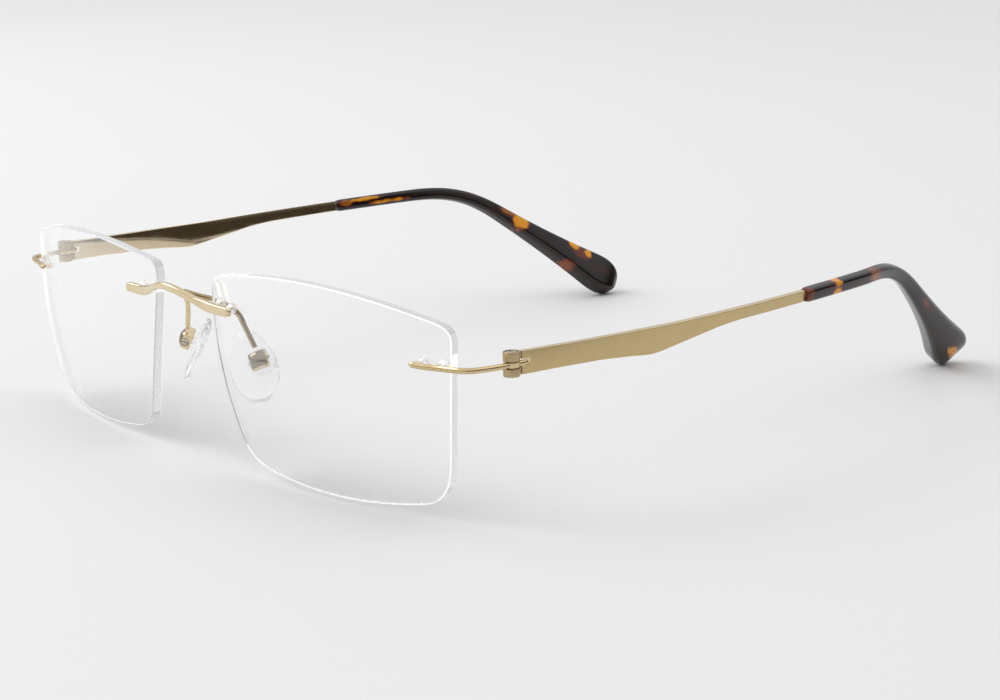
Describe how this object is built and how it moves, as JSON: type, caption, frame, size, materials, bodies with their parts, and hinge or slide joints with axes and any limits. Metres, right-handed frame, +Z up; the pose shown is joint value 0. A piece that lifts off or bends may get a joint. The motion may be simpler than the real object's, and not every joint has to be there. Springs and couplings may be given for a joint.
{
  "type": "rimless eyeglasses",
  "caption": "Rimless eyeglasses: drilled lenses pinned to a gold bridge and endpieces, with rocking nose pads, folding flat temples and mottled brown tips.",
  "frame": {"origin": "centre of the footprint, on the surface that the lenses and the temple tips stand on", "axes": "+X to the wearer's left, +Y from the lenses back to the temple tips, +Z up; temples open at rest"},
  "size_m": [0.1396, 0.1514, 0.0365],
  "materials": {
    "polished_gold": "polished pale gold plating",
    "satin_gold": "satin brushed pale gold plating",
    "screw_steel": "bright, lightly tinted",
    "lens": "clear, polished edges",
    "clear_sleeve": "clear moulded plastic",
    "clear_pad": "clear soft plastic, smooth",
    "tortoiseshell": "polished dark brown acetate with amber mottling"
  },
  "bodies": {
    "front": {"bridge_bar": "polished_gold", "left_lens": "lens", "left_bridge_pin_1": "polished_gold", "left_bridge_sleeve_1": "clear_sleeve", "left_bridge_pin_2": "polished_gold", "left_bridge_sleeve_2": "clear_sleeve", "left_endpiece_pin_1": "polished_gold", "left_endpiece_sleeve_1": "clear_sleeve", "left_endpiece_pin_2": "polished_gold", "left_endpiece_sleeve_2": "clear_sleeve", "left_endpiece": "polished_gold", "left_pad_arm": "polished_gold", "left_pad_box": "polished_gold", "left_pad_screw": "screw_steel", "right_lens": "lens", "right_bridge_pin_1": "polished_gold", "right_bridge_sleeve_1": "clear_sleeve", "right_bridge_pin_2": "polished_gold", "right_bridge_sleeve_2": "clear_sleeve", "right_endpiece_pin_1": "polished_gold", "right_endpiece_sleeve_1": "clear_sleeve", "right_endpiece_pin_2": "polished_gold", "right_endpiece_sleeve_2": "clear_sleeve", "right_endpiece": "polished_gold", "right_pad_arm": "polished_gold", "right_pad_box": "polished_gold", "right_pad_screw": "screw_steel"},
    "left_temple": {"left_upper_knuckle": "satin_gold", "left_lower_knuckle": "satin_gold", "left_hinge_screw": "screw_steel", "left_temple": "satin_gold", "left_temple_core": "screw_steel", "left_temple_tip": "tortoiseshell"},
    "right_temple": {"right_upper_knuckle": "satin_gold", "right_lower_knuckle": "satin_gold", "right_hinge_screw": "screw_steel", "right_temple": "satin_gold", "right_temple_core": "screw_steel", "right_temple_tip": "tortoiseshell"},
    "left_pad": {"left_nose_pad": "clear_pad", "left_pad_insert": "clear_sleeve"},
    "right_pad": {"right_nose_pad": "clear_pad", "right_pad_insert": "clear_sleeve"}
  },
  "joints": [
    {"name": "left_temple_hinge", "type": "hinge", "parent": "front", "child": "left_temple", "pos_m": [0.068, -0.05579, 0.02597], "axis": [0, 0, 1], "range_deg": [0, 82]},
    {"name": "right_temple_hinge", "type": "hinge", "parent": "front", "child": "right_temple", "pos_m": [-0.068, -0.05579, 0.02597], "axis": [0, 0, -1], "range_deg": [0, 74]},
    {"name": "left_pad_rock", "type": "hinge", "parent": "front", "child": "left_pad", "pos_m": [0.01185, -0.0642, 0.01889], "axis": [0.6368, 0.6909, 0.3422], "range_deg": [-10, 10]},
    {"name": "right_pad_rock", "type": "hinge", "parent": "front", "child": "right_pad", "pos_m": [-0.01185, -0.0642, 0.01889], "axis": [0.6368, -0.6909, -0.3422], "range_deg": [-10, 10]}
  ]
}
